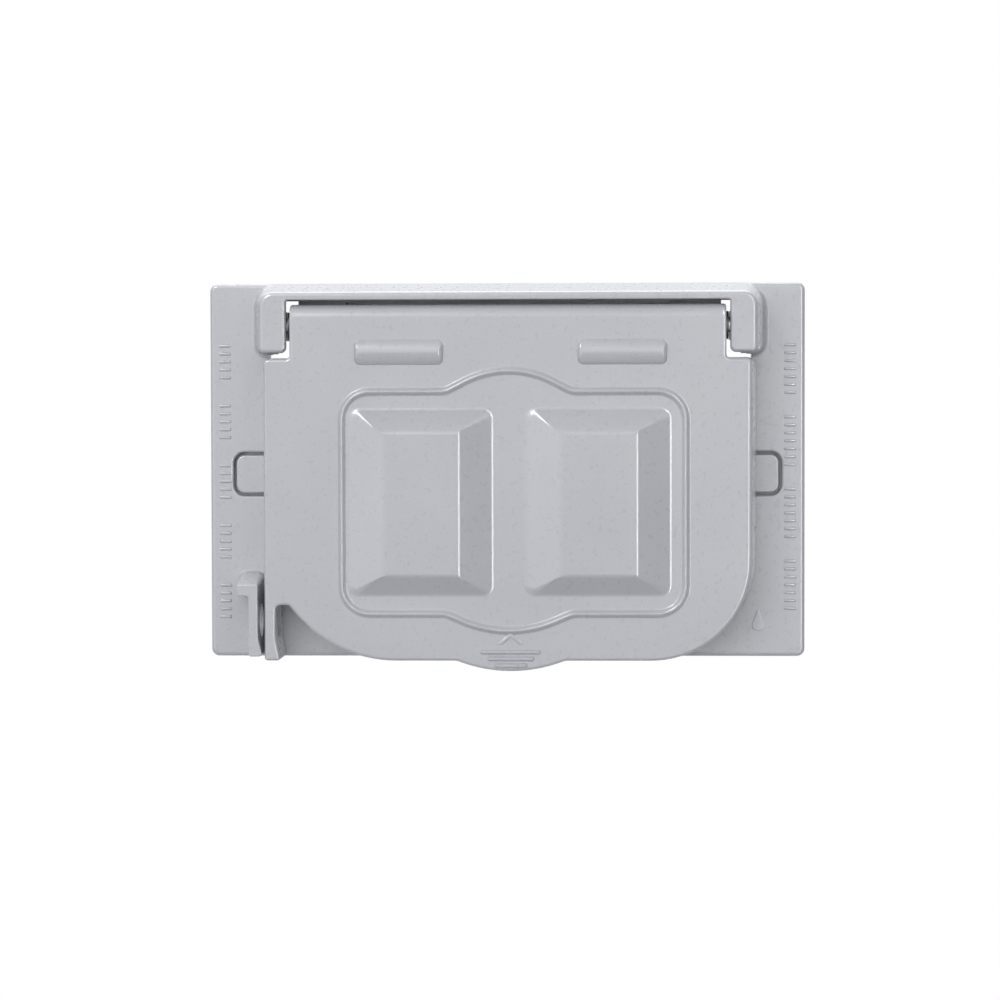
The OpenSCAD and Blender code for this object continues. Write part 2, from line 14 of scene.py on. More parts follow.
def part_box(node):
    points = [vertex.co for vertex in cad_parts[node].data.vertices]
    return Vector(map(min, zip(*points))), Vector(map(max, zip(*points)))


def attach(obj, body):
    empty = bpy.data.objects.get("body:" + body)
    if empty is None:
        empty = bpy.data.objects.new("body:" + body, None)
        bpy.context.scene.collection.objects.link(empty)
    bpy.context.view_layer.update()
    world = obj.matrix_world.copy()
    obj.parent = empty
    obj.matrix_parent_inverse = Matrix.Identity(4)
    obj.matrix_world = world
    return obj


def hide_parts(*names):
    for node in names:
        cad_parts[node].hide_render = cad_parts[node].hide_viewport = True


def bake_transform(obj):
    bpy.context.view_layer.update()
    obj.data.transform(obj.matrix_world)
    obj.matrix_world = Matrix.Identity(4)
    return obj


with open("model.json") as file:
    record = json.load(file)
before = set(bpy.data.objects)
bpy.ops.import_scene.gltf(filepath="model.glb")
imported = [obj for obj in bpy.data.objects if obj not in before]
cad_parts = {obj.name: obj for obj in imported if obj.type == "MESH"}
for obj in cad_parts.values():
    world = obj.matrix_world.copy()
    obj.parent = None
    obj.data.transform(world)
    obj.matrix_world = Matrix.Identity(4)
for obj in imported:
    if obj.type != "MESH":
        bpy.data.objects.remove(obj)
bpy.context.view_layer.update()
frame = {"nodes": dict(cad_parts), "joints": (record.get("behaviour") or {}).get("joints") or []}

MM = 0.001
SIDES = (-1, 1)
ARC_ERROR = 0.012          # how far an arc's chords may stray from it
SMOOTH_ANGLE = math.radians(34)
FLAT_ANGLE = math.radians(0.05)


# ---------------------------------------------------------------- places that come from the frame

def box_of(node):
    """Lowest and highest (u, v, w) of a CAD node."""
    low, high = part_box(node)
    return (low.x / MM, low.z / MM, -high.y / MM), (high.x / MM, high.z / MM, -low.y / MM)


frame_low, frame_high = box_of("base_frame")
wall_seal_low, wall_seal_high = box_of("wall_gasket")
inner_low, inner_high = box_of("device_plate")
lid_low, lid_high = box_of("lid")
lid_seal_low, lid_seal_high = box_of("lid_gasket")
screws_low, screws_high = box_of("box_screws")
centre_screw_low, centre_screw_high = box_of("device_screw")

hinge = frame["joints"][0]
hinge_u = hinge["pos_m"][0] / MM
axis_v = hinge["pos_m"][2] / MM
axis_w = -hinge["pos_m"][1] / MM

# frame plate
plate_left, plate_right = frame_low[0], frame_high[0]
plate_bottom, plate_top = frame_low[1], frame_high[1]
plate_back = frame_low[2]
plate_front = inner_high[2] + 0.05
plate_round = 0.8
back_round = 0.35
rim_t = 2.2
skin_back = plate_front - 2.0
ledge_front, ledge_back = 4.2, 2.6
pocket_u, pocket_v, pocket_r = 46.6, 22.2, 1.5
pocket_wall = 1.6
opening_u, opening_v = 36.4, 18.6
outlet_u = 19.45
notch_end, notch_half, notch_rise = 53.8, 4.3, -0.05
notch_end_r, notch_root_r = 2.2, 0.6
screw_u = 41.67
screw_boss_r = 6.5
screw_hole_r = 4.3

# hood
hood_front, hood_top = 18.2, 35.3
hood_half, hood_foot_half = 48.0, 49.8
ear_bottom, ear_inner = 23.6, 42.8
ear_wall, ear_back, ear_hollow_end = 2.0, 9.0, 46.3
roof_t = 1.6
bushing_low, bushing_high = 26.0, 31.5     # the ears' inner walls stand only beside the bushings
window_in, window_out = 41.4, 47.4
window_bottom, window_top = 21.6, 33.9
pin_slot_r = 1.52

# hasp
hasp_front = frame_high[2]
hasp_right, hasp_left, hasp_arm = -47.8, -49.6, -51.7
hasp_top, hasp_bottom, hasp_arm_t = -21.1, -35.0, 2.2
padlock_v, padlock_w, padlock_r = -28.4, plate_front + 5.7, 3.2

# lid
field_rise = 3.0
lid_front = lid_high[2] - field_rise
lid_foot = lid_low[2]
lid_left, lid_right = lid_low[0] + 0.5, lid_high[0] - 1.2
lid_top = 22.4
lid_peak = lid_high[1]
lid_bottom = -35.8
lid_wall = 1.6
cheek = 42.0
cheek_t = 2.2
peak_round = 2.8
leg_right, leg_flare_right, leg_flare_top = -44.35, -43.45, -31.6
notch_right, notch_top = -41.8, -25.06
shoulder_u, shoulder_r = -33.8, 25.4
corner_left_u, corner_left_r = -20.4, 26.0
corner_right_r = 19.5
tab_u, tab_half, tab_drop, tab_r = 1.1, 10.5, 3.7, 28.0
ceiling = lid_front - lid_wall
bushing_r = 2.3

# torsion springs
coil_inner, coil_outer = 24.3, 31.4
coil_v, coil_w = axis_v + 0.8, axis_w - 0.9
wire_d = 0.8
spring_room_r = 3.9

# screws
thread_r, core_r = 1.75, 1.35
head_r = 3.25

# how deep the root of a raised mark is buried, and how far its foot lies under the surface
buried, skin = 0.5, 0.03
boss_root = 0.8


# ---------------------------------------------------------------- mesh kit

def at(u, v, w):
    """A point of the drawing in the frame's axes, in metres."""
    return Vector((u, -w, v)) * MM


def listed(value, count):
    """One value for every side, or the list as it is."""
    return list(value) if isinstance(value, (list, tuple)) else [value] * count


def contour(corners, grow=0.0, w=0.0):
    """A closed outline with round corners, as (a, b, w) points.

    corners are (a, b, radius), counter-clockwise. Side i runs from corner i to the next one.
    grow moves the sides outwards, and w is their height: one number, or one for each side.
    """
    count = len(corners)
    grow, w = listed(grow, count), listed(w, count)
    here = [Vector(c[:2]) for c in corners]
    along = [(here[(i + 1) % count] - here[i]).normalized() for i in range(count)]
    points = []
    for i, corner in enumerate(corners):
        before, after = along[i - 1], along[i]
        turn = math.atan2(before.cross(after), before.dot(after))
        out_before = Vector((before.y, -before.x))
        # the corner of the moved sides
        share = (grow[i] - grow[i - 1] * before.dot(after)) / -before.cross(after)
        tip = here[i] + out_before * grow[i - 1] + before * -share
        bend = math.copysign(1, turn)
        mean = (grow[i - 1] + grow[i]) / 2
        radius = max(corner[2] + bend * mean, 0.02)
        half = abs(turn) / 2
        cut = radius * math.tan(half)
        centre = tip - before * cut - out_before * radius * bend
        chord = 2 * math.acos(max(1 - ARC_ERROR / max(corner[2], 0.05), 0.5))
        steps = max(2, math.ceil(abs(turn) / chord))
        start = math.atan2(out_before.y * bend, out_before.x * bend)
        for k in range(steps + 1):
            angle = start + turn * k / steps
            a, b = centre.x + radius * math.cos(angle), centre.y + radius * math.sin(angle)
            points.append((a, b, w[i - 1] + (w[i] - w[i - 1]) * k / steps))
    return points


def rectangle(u0, u1, v0, v1, r):
    """Corners of a rectangle, for contour()."""
    return [(u0, v0, r), (u1, v0, r), (u1, v1, r), (u0, v1, r)]


def circle(u, v, r, w, count=48):
    """A ring of points at height w."""
    turns = [2 * math.pi * k / count for k in range(count)]
    return [(u + r * math.cos(a), v + r * math.sin(a), w) for a in turns]


def facing_side(ring):
    """Turns an outline's (v, w, u) points into (u, v, w)."""
    return [(c, a, b) for a, b, c in ring]


def solid(name, rings, ends_meet=False):
    """A closed mesh through rings of points: capped at both ends, or joined end to end."""
    bm = bmesh.new()
    rows = [[bm.verts.new(at(*p)) for p in ring] for ring in rings]
    count = len(rows[0])
    pairs = list(zip(rows, rows[1:]))
    if ends_meet:
        pairs.append((rows[-1], rows[0]))
    else:
        bm.faces.new(rows[0])
        bm.faces.new(rows[-1])
    for low, high in pairs:
        for i in range(count):
            j = (i + 1) % count
            bm.faces.new((low[i], low[j], high[j], high[i]))
    bmesh.ops.remove_doubles(bm, verts=bm.verts, dist=1e-7)
    bmesh.ops.recalc_face_normals(bm, faces=bm.faces)
    warped = [f for f in bm.faces if len(f.verts) > 4]
    bmesh.ops.triangulate(bm, faces=warped)
    mesh = bpy.data.meshes.new(name)
    bm.to_mesh(mesh)
    bm.free()
    piece = bpy.data.objects.new(name, mesh)
    bpy.context.scene.collection.objects.link(piece)
    return piece


def prism(name, corners, w0, w1):
    """A straight block between two heights."""
    return solid(name, [contour(corners, 0.0, w0), contour(corners, 0.0, w1)])


def quarter(steps):
    """Angles over a quarter turn."""
    return [math.pi / 2 * k / steps for k in range(steps + 1)]


def rounded_rim(corners, radius, front, steps, way=-1, grow=0.0):
    """Rings round an outline's front edge, turning inwards, or outwards where way is 1."""
    start = listed(grow, len(corners))
    return [contour(corners, [g + way * radius * (1 - math.cos(a)) for g in start],
                    front - radius * (1 - math.sin(a))) for a in quarter(steps)]


def drafted_rim(corners, drafts, rounds, front, tall, steps):
    """Rings round the front edge of sides that lean out by drafts over the height tall."""
    rings = []
    for a in quarter(steps):
        drop = [r * (1 - math.sin(a)) for r in rounds]
        grow = [g * d / tall - r * (1 - math.cos(a)) for g, d, r in zip(drafts, drop, rounds)]
        rings.append(contour(corners, grow, [front - d for d in drop]))
    return rings


def rounded_block(name, corners, w0, w1, edge):
    """A block whose front and back edges are rounded."""
    rings = [contour(corners, -edge * (1 - math.sin(a)), w0 + edge * (1 - math.cos(a))) for a in quarter(3)]
    return solid(name, rings + rounded_rim(corners, edge, w1, 4))


def cylinder_across(name, u0, u1, v, w, r, count=48):
    """A cylinder that runs along u."""
    return solid(name, [facing_side(circle(v, w, r, u, count)) for u in (u0, u1)])


def cylinder_out(name, u, v, w0, w1, r0, r1=None, count=48):
    """A cylinder or cone that runs out from the wall."""
    far_r = r0 if r1 is None else r1
    return solid(name, [circle(u, v, r0, w0, count), circle(u, v, far_r, w1, count)])


def combine(piece, others, operation):
    """Adds the others to piece, or cuts them from it. The others are used up."""
    for other in others:
        step = piece.modifiers.new("step", "BOOLEAN")
        step.operation, step.solver, step.object = operation, "EXACT", other
        made = bpy.data.meshes.new_from_object(piece.evaluated_get(bpy.context.evaluated_depsgraph_get()))
        piece.modifiers.clear()
        old = piece.data
        piece.data = made
        bpy.data.meshes.remove(old)
        bpy.data.meshes.remove(other.data)
    return piece


def join(piece, *others):
    """Adds the others to piece."""
    return combine(piece, others, "UNION")


def cut(piece, *others):
    """Cuts the others from piece."""
    return combine(piece, others, "DIFFERENCE")


def gathered(pieces):
    """One object of several pieces that don't touch."""
    bm = bmesh.new()
    for piece in pieces:
        bm.from_mesh(piece.data)
        bpy.data.meshes.remove(piece.data)
    mesh = bpy.data.meshes.new("gathered")
    bm.to_mesh(mesh)
    bm.free()
    group = bpy.data.objects.new("gathered", mesh)
    bpy.context.scene.collection.objects.link(group)
    return group


def finished(piece, name, body, material, nodes=(), bend=None):
    """Shades a piece, gives it its material and puts it on its body; with bend, it goes on no body and its
    place is baked in.
    """
    mesh = piece.data
    piece.name = mesh.name = name
    bm = bmesh.new()
    bm.from_mesh(mesh)
    bmesh.ops.remove_doubles(bm, verts=bm.verts, dist=2e-6)
    bmesh.ops.dissolve_degenerate(bm, edges=bm.edges, dist=1e-6)
    # flat areas become one face each, so that no thin triangle catches the light
    bmesh.ops.dissolve_limit(bm, angle_limit=FLAT_ANGLE, verts=bm.verts, edges=bm.edges)
    bm.to_mesh(mesh)
    bm.free()
    mesh.materials.clear()
    mesh.materials.append(material)
    mesh.shade_smooth()
    mesh.set_sharp_from_angle(angle=SMOOTH_ANGLE)
    weighted = piece.modifiers.new("weighted", "WEIGHTED_NORMAL")
    weighted.keep_sharp, weighted.weight = True, 80
    if nodes:
        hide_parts(*nodes)
    if bend:
        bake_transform(piece)
    else:
        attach(piece, body)
    return piece


# ---------------------------------------------------------------- materials

class Nodes:
    """A short way to write a material's nodes."""

    def __init__(self, name):
        """A new material with its one shader."""
        self.material = bpy.data.materials.new(name)
        self.material.use_nodes = True
        self.tree = self.material.node_tree
        self.shader = self.tree.nodes["Principled BSDF"]

    def add(self, kind, inputs=(), **settings):
        """A node whose inputs are other nodes' outputs or plain values."""
        node = self.tree.nodes.new("ShaderNode" + kind)
        for key, value in settings.items():
            setattr(node, key, value)
        for key, value in dict(inputs).items():
            if isinstance(value, bpy.types.NodeSocket):
                self.tree.links.new(value, node.inputs[key])
            else:
                node.inputs[key].default_value = value
        return node

    def place(self):
        """The place on the object, in metres."""
        return self.add("TexCoord").outputs["Object"]

    def noise(self, scale, detail=2.0, roughness=0.5, stretch=None):
        """Soft noise, with stretch as how much finer it is along each axis."""
        where = self.place()
        if stretch:
            where = self.add("Mapping", {"Vector": where, "Scale": stretch}).outputs["Vector"]
        inputs = {"Vector": where, "Scale": scale, "Detail": detail, "Roughness": roughness}
        return self.add("TexNoise", inputs).outputs["Fac"]

    def ramp(self, value, low, high, to_low, to_high):
        """Carries low..high to to_low..to_high, held at the ends."""
        inputs = {"Value": value, "From Min": low, "From Max": high, "To Min": to_low, "To Max": to_high}
        return self.add("MapRange", inputs).outputs["Result"]

    def mix(self, share, first, second, kind="MIX"):
        """Two colours mixed."""
        inputs = {"Fac": share, "Color1": first, "Color2": second}
        return self.add("MixRGB", inputs, blend_type=kind).outputs["Color"]

    def bump(self, height, strength, distance, below=None):
        """Relief of distance metres, on top of the relief below."""
        inputs = {"Height": height, "Strength": strength, "Distance": distance}
        if below is not None:
            inputs["Normal"] = below
        return self.add("Bump", inputs).outputs["Normal"]

    def join(self, **sockets):
        """Fills the shader's sockets and gives the material."""
        for key, value in sockets.items():
            socket = self.shader.inputs[key.replace("_", " ")]
            if isinstance(value, bpy.types.NodeSocket):
                self.tree.links.new(value, socket)
            else:
                socket.default_value = value
        return self.material


def powder_coat():
    """Grey powder coat: soft orange peel, a fine grain and specks a shade lighter and darker."""
    n = Nodes("powder_coat")
    cloud = n.ramp(n.noise(45, 3), 0.3, 0.7, 0.0, 1.0)
    base = n.mix(cloud, (0.425, 0.435, 0.465, 1), (0.455, 0.465, 0.492, 1))
    speck = n.ramp(n.noise(3200, 1.5, 0.6), 0.34, 0.68, 0.0, 1.0)
    color = n.mix(speck, (0.965, 0.965, 0.965, 1), (1.03, 1.03, 1.03, 1))
    color = n.mix(0.75, base, n.mix(1.0, base, color, "MULTIPLY"))
    peel = n.bump(n.noise(600, 2, 0.5), 0.35, 0.000012)
    grain = n.bump(n.noise(2400, 2, 0.6), 0.25, 0.000008, peel)
    rough = n.ramp(n.noise(900, 2), 0.3, 0.7, 0.26, 0.34)
    return n.join(Base_Color=color, Roughness=rough, Normal=grain, Specular_IOR_Level=0.5)


def neoprene():
    """Closed-cell sheet: nearly black, dull, with fine open cells on its skin, their pits darkened by
    painted shade.
    """
    n = Nodes("neoprene")
    cells = n.add("TexVoronoi", {"Vector": n.place(), "Scale": 2600.0}).outputs["Distance"]
    # painted shade: the colour is darkest at the cell centres, where the bump below sinks the pits
    tone = n.ramp(cells, 0.05, 0.45, 0.0, 1.0)
    color = n.mix(tone, (0.018, 0.018, 0.019, 1), (0.052, 0.052, 0.054, 1))
    rough = n.ramp(n.noise(400, 3), 0.3, 0.7, 0.82, 0.95)
    pits = n.bump(cells, 0.6, 0.00006)
    return n.join(Base_Color=color, Roughness=rough, Normal=pits, Specular_IOR_Level=0.3)


def zinc_steel():
    """Bright zinc plate with faint blue and yellow patches and drawn lines."""
    n = Nodes("zinc_steel")
    patch = n.ramp(n.noise(160, 3, 0.6), 0.35, 0.65, 0.0, 1.0)
    color = n.mix(patch, (0.60, 0.585, 0.54, 1), (0.54, 0.56, 0.585, 1))
    lines = n.noise(900, 3, 0.7, stretch=(0.12, 1.0, 1.0))
    rough = n.ramp(lines, 0.3, 0.7, 0.24, 0.38)
    return n.join(Base_Color=color, Metallic=1.0, Roughness=rough, Normal=n.bump(lines, 0.25, 0.00001))


def spring_wire():
    """Drawn stainless wire."""
    n = Nodes("spring_wire")
    lines = n.noise(1400, 3, 0.6)
    color = n.mix(lines, (0.58, 0.56, 0.52, 1), (0.70, 0.68, 0.64, 1))
    rough = n.ramp(lines, 0.3, 0.7, 0.2, 0.34)
    return n.join(Base_Color=color, Metallic=1.0, Roughness=rough, Normal=n.bump(lines, 0.2, 0.00001))


def black_nylon():
    """Moulded nylon with a faint mottle."""
    n = Nodes("black_nylon")
    mottle = n.noise(800, 3, 0.6)
    color = n.mix(mottle, (0.012, 0.012, 0.013, 1), (0.032, 0.032, 0.034, 1))
    rough = n.ramp(mottle, 0.3, 0.7, 0.38, 0.52)
    return n.join(Base_Color=color, Roughness=rough, Normal=n.bump(mottle, 0.3, 0.00002))


def fibre():
    """Red-brown vulcanised fibre, its layers stacked through the washer."""
    n = Nodes("fibre")
    weave = n.noise(1200, 4, 0.7, stretch=(1.0, 4.0, 1.0))
    color = n.mix(weave, (0.14, 0.035, 0.022, 1), (0.27, 0.085, 0.055, 1))
    rough = n.ramp(weave, 0.3, 0.7, 0.6, 0.78)
    return n.join(Base_Color=color, Roughness=rough, Normal=n.bump(weave, 0.4, 0.00003))


COAT, SEAL, ZINC = powder_coat(), neoprene(), zinc_steel()
WIRE, NYLON, FIBRE = spring_wire(), black_nylon(), fibre()


# ---------------------------------------------------------------- frame casting

def plate_body():
    """The plate, solid, with a rounded front edge."""
    corners = rectangle(plate_left, plate_right, plate_bottom, plate_top, 1.5)
    rings = [contour(corners, -back_round, plate_back), contour(corners, 0, plate_back + back_round)]
    return solid("plate", rings + rounded_rim(corners, plate_round, plate_front, 6))


def flared(corners, drafts, front, flare, rounds, flared_sides=None):
    """Rings of a drafted boss: its foot flares into the plate and its front edge is rounded."""
    count = len(corners)
    flared_sides = range(count) if flared_sides is None else flared_sides
    flares = [flare if i in flared_sides else 0.0 for i in range(count)]
    tall = front - plate_front
    root = [g + f * 1.15 for g, f in zip(drafts, flares)]
    rings = [contour(corners, root, plate_front - boss_root)]
    for a in quarter(5):
        rise = flare * (1 - math.cos(a)) - skin
        left = 1 - max(rise, 0) / tall
        grow = [g * left + f * (1 - math.sin(a)) for g, f in zip(drafts, flares)]
        rings.append(contour(corners, grow, plate_front + rise))
    return rings + drafted_rim(corners, drafts, listed(rounds, count), front, tall, 5)


def hood_body():
    """The hood's roof and its two ears, solid."""
    left, right = hinge_u - hood_half, hinge_u + hood_half
    in_left, in_right = hinge_u - ear_inner, hinge_u + ear_inner
    lip = hood_top - roof_t
    corners = [(left, ear_bottom, 1.0), (in_left, ear_bottom, 1.1),
               (in_left, lip, 0.5), (in_right, lip, 0.5),
               (in_right, ear_bottom, 1.1), (right, ear_bottom, 1.0),
               (right, hood_top, 2.7), (left, hood_top, 2.7)]
    side_draft = hood_foot_half - hood_half
    top_draft = plate_top - 0.1 - hood_top
    drafts = [0.2, 0.0, -top_draft, 0.0, 0.2, side_draft, top_draft, side_draft]
    rounds = [0.7, 0.6, 0.35, 0.6, 0.7, 0.8, 0.8, 0.8]
    ears_and_outer_sides = (0, 4, 5, 7)
    return solid("hood", flared(corners, drafts, hood_front, 1.0, rounds, ears_and_outer_sides))


def hasp_body():
    """The padlock hasp: a web with a short arm at its top."""
    arm_bottom = hasp_top - hasp_arm_t
    corners = [(hasp_left, hasp_bottom, 0.5), (hasp_right + 0.85, hasp_bottom, 0.5),
               (hasp_right, -31.3, 8.0), (hasp_right, hasp_top, 0.4),
               (hasp_arm, hasp_top, 0.3), (hasp_arm, arm_bottom, 0.3), (hasp_left, arm_bottom, 0.6)]
    drafts = [0.1, 0.1, 0.1, 1.9, 1.3, 0.3, 0.35]
    return solid("hasp", flared(corners, drafts, hasp_front, 0.4, 0.2))


def ear_room(side):
    """The hollow behind an ear, wide over its window, with the gaps in its inner wall and the window."""
    inner, wall_in = hinge_u + side * (ear_inner + ear_wall), hinge_u + side * (ear_inner - 1)
    outer = hinge_u + side * ear_hollow_end
    top, front = hood_top - roof_t + 0.6, hood_front - roof_t
    hollow = rectangle(min(inner, outer), max(inner, outer), ear_bottom + roof_t, top, 0.4)
    wide = rectangle(min(wall_in, outer), max(wall_in, outer), window_bottom, top, 0.4)
    wall = sorted((wall_in, inner + side * 0.3))
    gaps = [prism("gap", rectangle(*wall, low, high, 0.05), plate_front, front)
            for low, high in ((ear_bottom - 1, bushing_low), (bushing_high, top))]
    edges = [hinge_u + side * e for e in (window_in, window_out)]
    window = rectangle(min(edges), max(edges), window_bottom, window_top, 0.02)
    return [*gaps, prism("hollow", hollow, plate_front - 1, front),
            prism("wide", wide, plate_front - 1, ear_back),
            prism("window", window, plate_back - 1, plate_front + 0.6)]


def pin_slot(side):
    """The slot that takes the hinge pin from behind."""
    ends = sorted(hinge_u + side * e for e in (ear_inner - 1, ear_inner + ear_wall + 0.2))
    low, high, front = axis_v - pin_slot_r, axis_v + pin_slot_r, axis_w + pin_slot_r
    corners = [(low, ear_back - 1, 0.05), (high, ear_back - 1, 0.05),
               (high, front, pin_slot_r - 0.01), (low, front, pin_slot_r - 0.01)]
    return solid("slot", [facing_side(contour(corners, 0, u)) for u in ends])


def cross_outline():
    """The pocket with its two side notches, and the inner plate with its two tabs."""
    low, high = notch_rise - notch_half, notch_rise + notch_half
    u, v, out = pocket_u, pocket_v, notch_end
    return [(-u, -v, pocket_r), (u, -v, pocket_r),
            (u, low, notch_root_r), (out, low, notch_end_r),
            (out, high, notch_end_r), (u, high, notch_root_r),
            (u, v, pocket_r), (-u, v, pocket_r),
            (-u, high, notch_root_r), (-out, high, notch_end_r),
            (-out, low, notch_end_r), (-u, low, notch_root_r)]


def pocket_cut():
    """The pocket, its front edge rounded outwards."""
    corners = cross_outline()
    edge = 0.45
    rings = [contour(corners, 0, ledge_front), *rounded_rim(corners, edge, plate_front, 4, way=1)]
    rings += [contour(corners, edge + 0.4, plate_front + w) for w in (skin, 2)]
    return solid("pocket", rings)


def back_hollow():
    """The hollow between the plate's skirt and its pocket, as a ring."""
    outer = rectangle(plate_left + rim_t, plate_right - rim_t, plate_bottom + rim_t, plate_top - rim_t, 1.0)
    half_u, half_v = notch_end + pocket_wall, pocket_v + pocket_wall
    inner = rectangle(-half_u, half_u, -half_v, half_v, 2.0)
    hollow = prism("hollow", outer, plate_back - 1, skin_back)
    return cut(hollow, prism("island", inner, plate_back - 2, skin_back + 1))


def ledge_hollow():
    """The hollow under the ledge, as a ring that leaves the screw bosses standing."""
    half_u, half_v = pocket_u - 0.04, pocket_v - 0.04
    outer = rectangle(-half_u, half_u, -half_v, half_v, pocket_r)
    hollow = prism("hollow", outer, plate_back - 1, ledge_back)
    inner_u, inner_v = opening_u + 1.8, opening_v + 1.6
    inner = rectangle(-inner_u, inner_u, -inner_v, inner_v, 3.0)
    bosses = [cylinder_out("boss", side * screw_u, 0, plate_back - 2, ledge_back + 1, screw_boss_r)
              for side in SIDES]
    return cut(hollow, prism("island", inner, plate_back - 2, ledge_back + 1), *bosses)


def dash(u, v, half_u, half_v, w0, rise):
    """A small raised bar with round ends and a round back."""
    small = min(half_u, half_v)
    corners = rectangle(u - half_u, u + half_u, v - half_v, v + half_v, small - 0.02)
    steps = [(0.12, -0.1), (0.06, -0.01), (0.0, 0.35), (-0.3, 0.75), (-0.65, 1.0)]
    return solid("dash", [contour(corners, g * small, w0 + h * rise) for g, h in steps])


def plain_marks():
    """Rows of raised dashes up both ends of the plate, and a drop at the lower right."""
    marks = []
    step, space, inset = 1.55, 3.0, 2.9
    rows = ((plate_left + inset, -29.6, 29.2, 5), (plate_right - inset, -28.0, 28.4, 4))
    for u, low, high, groups in rows:
        span = (high - low) / groups
        count = int((span - space) / step)
        for g in range(groups):
            for i in range(count):
                v = low + g * span + space / 2 + i * step
                marks.append(dash(u, v, 1.15, 0.3, plate_front, 0.24))
    drop_u, half, bottom, tip = 49.2, 1.7, -30.9, -26.4
    drop = [(drop_u - half, bottom, 1.1), (drop_u + half, bottom, 1.1), (drop_u, tip, 0.2)]
    steps = ((0.06, -0.1), (0.03, 0.0), (0, 0.16), (-0.2, 0.28))
    marks.append(solid("drop", [contour(drop, g, plate_front + h) for g, h in steps]))
    return marks


def frame_casting():
    """The whole frame as one casting."""
    body = join(plate_body(), hood_body(), hasp_body())
    rooms = [part for side in SIDES for part in ear_room(side)]
    slots = [pin_slot(side) for side in SIDES]
    opening_outline = rectangle(-opening_u, opening_u, -opening_v, opening_v, 2.0)
    opening = prism("opening", opening_outline, 0, plate_front)
    screw_holes = [cylinder_out("hole", side * screw_u, 0, 0, plate_front, screw_hole_r) for side in SIDES]
    padlock = cylinder_across("padlock", hasp_left - 3, hasp_right + 2, padlock_v, padlock_w, padlock_r)
    cut(body, *rooms, *slots, pocket_cut(), opening, back_hollow(), ledge_hollow(), *screw_holes, padlock)
    join(body, gathered(plain_marks()))
    return finished(body, "frame_casting", "frame", COAT, ["base_frame"])


# ---------------------------------------------------------------- lid casting

LEFT, RIGHT = hinge_u - cheek, hinge_u + cheek
# the lid's outline: lock leg, notch, shoulder, lift tab, right side, hinge part, left side
LID = [(lid_left, lid_bottom, 0.6), (leg_flare_right, lid_bottom, 0.5),
       (leg_right, leg_flare_top, 8.0), (leg_right, notch_top, 0.95),
       (notch_right, notch_top, 0.75), (shoulder_u, lid_bottom, shoulder_r),
       (tab_u - tab_half, lid_bottom, 2.0), (tab_u, lid_bottom - tab_drop, tab_r),
       (tab_u + tab_half, lid_bottom, 2.0),
       (lid_right, lid_bottom, corner_right_r), (lid_right, lid_top, 1.0),
       (RIGHT, lid_top, 0.8), (RIGHT, lid_peak, 1.4), (LEFT, lid_peak, 1.4), (LEFT, lid_top, 0.8),
       (lid_left, lid_top, 1.0)]
# for each of its sides: how far it leans out at its foot, its front rounding and its foot's height
LID_DRAFT = [0.05, 0.1, 0.1, 0.25, 0.25, 0.25, 0.3, 0.3, 0.25, 1.2, 0.3, 0.0, 0.0, 0.0, 0.3, 0.5]
LID_ROUND = [0.5, 0.5, 0.5, 0.5, 0.6, 0.6, 0.6, 0.6, 0.6, 0.8, 0.6, 0.6, peak_round, 0.6, 0.6, 0.6]
LID_FOOT = [lid_foot] * 11 + [axis_w + 0.8] * 3 + [lid_foot] * 2


def lid_shell():
    """The lid's outside, solid."""
    rings = [contour(LID, [g - 0.15 for g in LID_DRAFT], LID_FOOT),
             contour(LID, [g * 0.985 for g in LID_DRAFT], [w + 0.2 for w in LID_FOOT])]
    rings += drafted_rim(LID, LID_DRAFT, LID_ROUND, lid_front, lid_front - lid_foot, 8)
    return solid("lid", rings)


def cavity():
    """The outline of the lid's inside, without the hinge part."""
    over_notch = notch_top + lid_wall
    r = corner_left_r - lid_wall
    centre_v = lid_bottom + corner_left_r
    sink = math.asin((centre_v - over_notch) / r)
    reach = r * math.cos(sink)
    run = r * math.tan((math.pi / 2 - sink) / 2)
    left, right = lid_left + lid_wall, lid_right - lid_wall
    bottom, top = lid_bottom + lid_wall, lid_top - lid_wall
    return [(left, over_notch, 1.2), (corner_left_u - reach, over_notch, 0.6),
            (corner_left_u - run, bottom, r - 1.1), (right, bottom, corner_right_r - lid_wall),
            (right, top, 1.2), (left, top, 1.2)]


def cavity_cut():
    """The lid's inside, a little wider at its mouth, with a rounded ceiling edge."""
    corners = cavity()
    rings = [contour(corners, 0.15, lid_foot + w) for w in (-1, 2)]
    return solid("cavity", rings + rounded_rim(corners, 0.8, ceiling, 4))


def hinge_cut():
    """The inside of the hinge part, under its rounded top edge."""
    inner = cheek - cheek_t
    low, high = lid_top - 4, lid_peak - lid_wall
    turn = peak_round - lid_wall
    corners = [(low, lid_foot - 1, 0.05), (high, lid_foot - 1, 0.05),
               (high, ceiling, turn), (low, ceiling, 0.05)]
    return solid("room", [facing_side(contour(corners, 0, hinge_u + side * inner)) for side in SIDES])


def hinge_cheek(side):
    """The side wall of the hinge part, which carries a bushing."""
    inner, outer = hinge_u + side * (cheek - cheek_t - 0.02), hinge_u + side * cheek
    reach = 4.1
    corners = [(lid_top - 2, lid_foot + 2.0, 0.3), (lid_top + 1.2, lid_foot + 2.0, 1.5),
               (axis_v - 1.2, axis_w - reach, 2.0), (axis_v + reach, axis_w - reach, 3.2),
               (lid_peak, lid_front, peak_round), (lid_top - 2, lid_front, 0.3)]
    edge = 0.35
    rings = [contour(corners, 0, inner), contour(corners, -0.02, outer - side * edge),
             contour(corners, -0.12, outer - side * 0.12), contour(corners, -edge, outer)]
    return solid("cheek", [facing_side(r) for r in rings])


